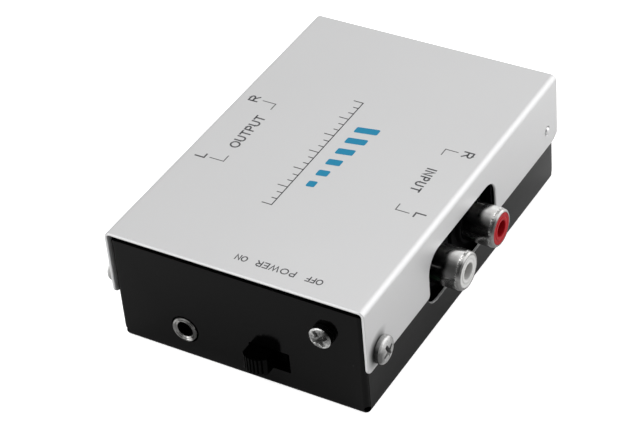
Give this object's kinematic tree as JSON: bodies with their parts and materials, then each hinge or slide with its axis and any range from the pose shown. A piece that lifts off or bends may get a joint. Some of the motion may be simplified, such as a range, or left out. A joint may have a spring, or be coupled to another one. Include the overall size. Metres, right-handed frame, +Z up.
{
  "type": "stereo preamp box",
  "caption": "Small folded sheet-metal stereo preamp box with phono sockets on both sides, a power jack, a slide switch and a ground screw on the front.",
  "frame": {"origin": "middle of the tray's flat underside", "axes": "+X towards the input sockets, +Y from the front panel to the rear wall, +Z up"},
  "size_m": [0.0654, 0.0853, 0.0259],
  "materials": {
    "cover_silver": "satin silver, fine grain",
    "tray_black": "semi-gloss black paint",
    "screw_steel": "bright plated pan head",
    "pin_metal": "satin",
    "zinc_steel": "zinc plated",
    "board_green": "green solder resist",
    "insulating_film": "translucent film",
    "socket_black": "moulded satin black",
    "shell_chrome": "bright nickel plate",
    "ferrule_chrome": "bright nickel plate",
    "insulator_white": "moulded gloss white",
    "insulator_red": "moulded gloss red",
    "contact_brass": "plated brass",
    "knob_black": "moulded satin black with ribs",
    "ground_chrome": "bright nickel plate",
    "wire_green": "PVC insulation",
    "chip_black": "moulded epoxy",
    "can_blue": "shrink sleeve",
    "film_red": "dipped resin",
    "resistor_beige": "lacquered body"
  },
  "bodies": {
    "preamp_box": {"top_cover": "cover_silver", "chassis_tray": "tray_black", "cover_screw_right": "screw_steel", "cover_screw_left": "screw_steel", "rear_locating_pin_right": "pin_metal", "rear_locating_pin_left": "pin_metal", "circuit_board": "board_green", "insulating_sheet": "insulating_film", "board_standoff_1": "zinc_steel", "board_standoff_2": "zinc_steel", "board_standoff_3": "zinc_steel", "board_standoff_4": "zinc_steel", "board_screw_1": "zinc_steel", "board_screw_2": "zinc_steel", "board_screw_3": "zinc_steel", "board_screw_4": "zinc_steel", "input_jack_block": "socket_black", "output_jack_block": "socket_black", "input_left_shell": "shell_chrome", "input_right_shell": "shell_chrome", "output_left_shell": "shell_chrome", "output_right_shell": "shell_chrome", "input_left_insulator": "insulator_white", "input_right_insulator": "insulator_red", "output_left_insulator": "insulator_white", "output_right_insulator": "insulator_red", "input_left_contact": "contact_brass", "input_right_contact": "contact_brass", "output_left_contact": "contact_brass", "output_right_contact": "contact_brass", "power_jack_body": "socket_black", "power_jack_ferrule": "ferrule_chrome", "power_jack_contact": "contact_brass", "switch_frame": "zinc_steel", "switch_base": "socket_black", "switch_terminal_1": "contact_brass", "switch_terminal_2": "contact_brass", "switch_terminal_3": "contact_brass", "ground_lug": "zinc_steel", "ground_nut": "zinc_steel", "ground_wire": "wire_green", "preamp_chip": "chip_black", "voltage_regulator": "chip_black", "supply_capacitor": "can_blue", "coupling_capacitor_left": "can_blue", "coupling_capacitor_right": "can_blue", "film_capacitor_left": "film_red", "film_capacitor_right": "film_red", "resistor_1": "resistor_beige", "resistor_2": "resistor_beige", "resistor_3": "resistor_beige", "resistor_4": "resistor_beige", "protection_diode": "chip_black"},
    "power_switch": {"switch_knob": "knob_black", "switch_wiper": "contact_brass"},
    "clamp_washer": {"ground_washer": "zinc_steel"},
    "terminal_screw": {"ground_screw": "ground_chrome"}
  },
  "joints": [
    {"name": "power_switch_slide", "type": "slide", "parent": "preamp_box", "child": "power_switch", "axis": [1, 0, 0], "range_m": [0, 0.0032]},
    {"name": "clamp_slide", "type": "slide", "parent": "preamp_box", "child": "clamp_washer", "axis": [0, -1, 0], "range_m": [0, 0.0015]},
    {"name": "terminal_screw_turn", "type": "hinge", "parent": "clamp_washer", "child": "terminal_screw", "pos_m": [0.01913, -0.04055, 0.0174], "axis": [0, -1, 0], "range_deg": [0, 1080]}
  ],
  "couplings": [
    {"joint": "terminal_screw_turn", "follows": "clamp_slide", "rad_per_m": 12566}
  ]
}
